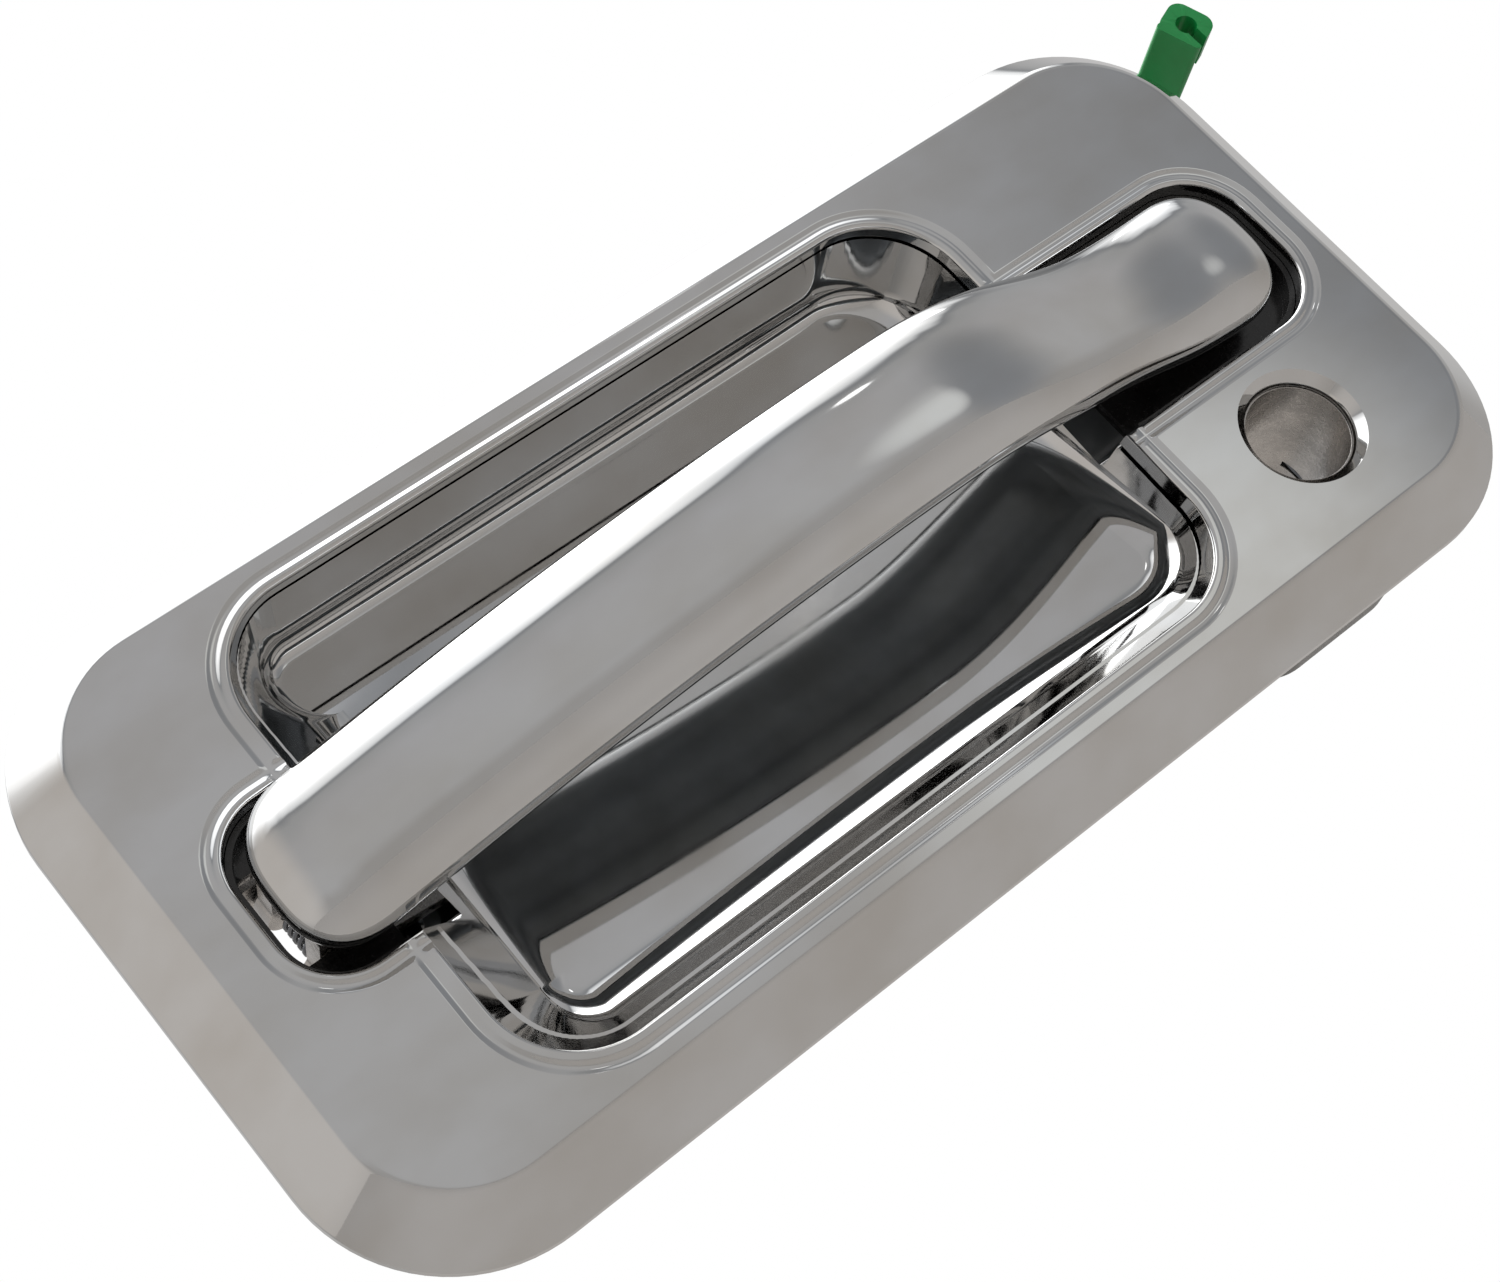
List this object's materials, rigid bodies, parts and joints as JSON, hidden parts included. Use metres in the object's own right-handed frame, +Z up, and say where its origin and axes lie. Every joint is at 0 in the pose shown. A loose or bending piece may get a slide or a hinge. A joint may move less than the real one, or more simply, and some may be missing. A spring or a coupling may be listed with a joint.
{
  "type": "car door handle",
  "caption": "Exterior pull handle for a car door: bright bezel with a deep finger recess, bowed grip, lock opening, and a sprung crank with a rod clip behind.",
  "frame": {"origin": "centre of the four-stud pattern, on the plane of the door skin that the gasket seats on", "axes": "+X to the rear of the car along the bezel's length, +Y into the door along the studs, +Z up; the handle faces -Y"},
  "size_m": [0.2875, 0.0799, 0.1272],
  "materials": {
    "chrome_plate": "bright chrome plate",
    "foam": "closed-cell foam",
    "black_plastic": "glass-filled nylon",
    "cast_zinc": "as-cast zinc",
    "plated_steel": "zinc-plated steel",
    "spring_steel": "drawn spring steel",
    "black_rubber": "moulded rubber",
    "natural_acetal": "natural acetal",
    "green_acetal": "moulded green acetal"
  },
  "bodies": {
    "bezel_frame": {"bezel": "chrome_plate", "skin_gasket": "foam", "pivot_bracket": "cast_zinc", "pivot_pin": "plated_steel", "pivot_clips": "spring_steel", "pivot_spring": "spring_steel", "pivot_seal": "black_rubber", "hook_seal": "black_rubber", "end_bumpers": "black_rubber", "rear_bracket": "black_plastic", "bracket_screws": "plated_steel", "crank_pin": "plated_steel", "crank_clip": "spring_steel", "crank_spring": "spring_steel", "lock_sleeve": "cast_zinc", "lock_seal": "black_rubber", "lock_retainer": "spring_steel", "mounting_studs": "plated_steel"},
    "handle": {"handle_shell": "chrome_plate", "handle_liner": "black_plastic", "pivot_arm": "cast_zinc", "hook_arm": "cast_zinc", "arm_screws": "plated_steel", "pivot_bushes": "black_plastic"},
    "crank": {"crank": "cast_zinc", "crank_shoe": "natural_acetal"},
    "clip": {"rod_clip": "green_acetal"}
  },
  "joints": [
    {"name": "handle_pull", "type": "hinge", "parent": "bezel_frame", "child": "handle", "pos_m": [-0.1, 0.008, 0.0024], "axis": [0, 0, -1], "range_deg": [0, 8], "stiffness_Nm_per_rad": 10, "springref_deg": -8.59, "deforming": ["pivot_spring"]},
    {"name": "crank_turn", "type": "hinge", "parent": "bezel_frame", "child": "crank", "pos_m": [0.11, 0.018, 0.046], "axis": [-1, 0, 0], "range_deg": [0, 39.2], "stiffness_Nm_per_rad": 0.1, "springref_deg": -28.65, "deforming": ["crank_spring"]},
    {"name": "clip_swing", "type": "hinge", "parent": "crank", "child": "clip", "pos_m": [0.1444, 0.033, 0.054], "axis": [1, 0, 0], "range_deg": [-30, 100]}
  ],
  "couplings": [
    {"joint": "crank_turn", "follows": "handle_pull", "ratio": 4.9}
  ]
}
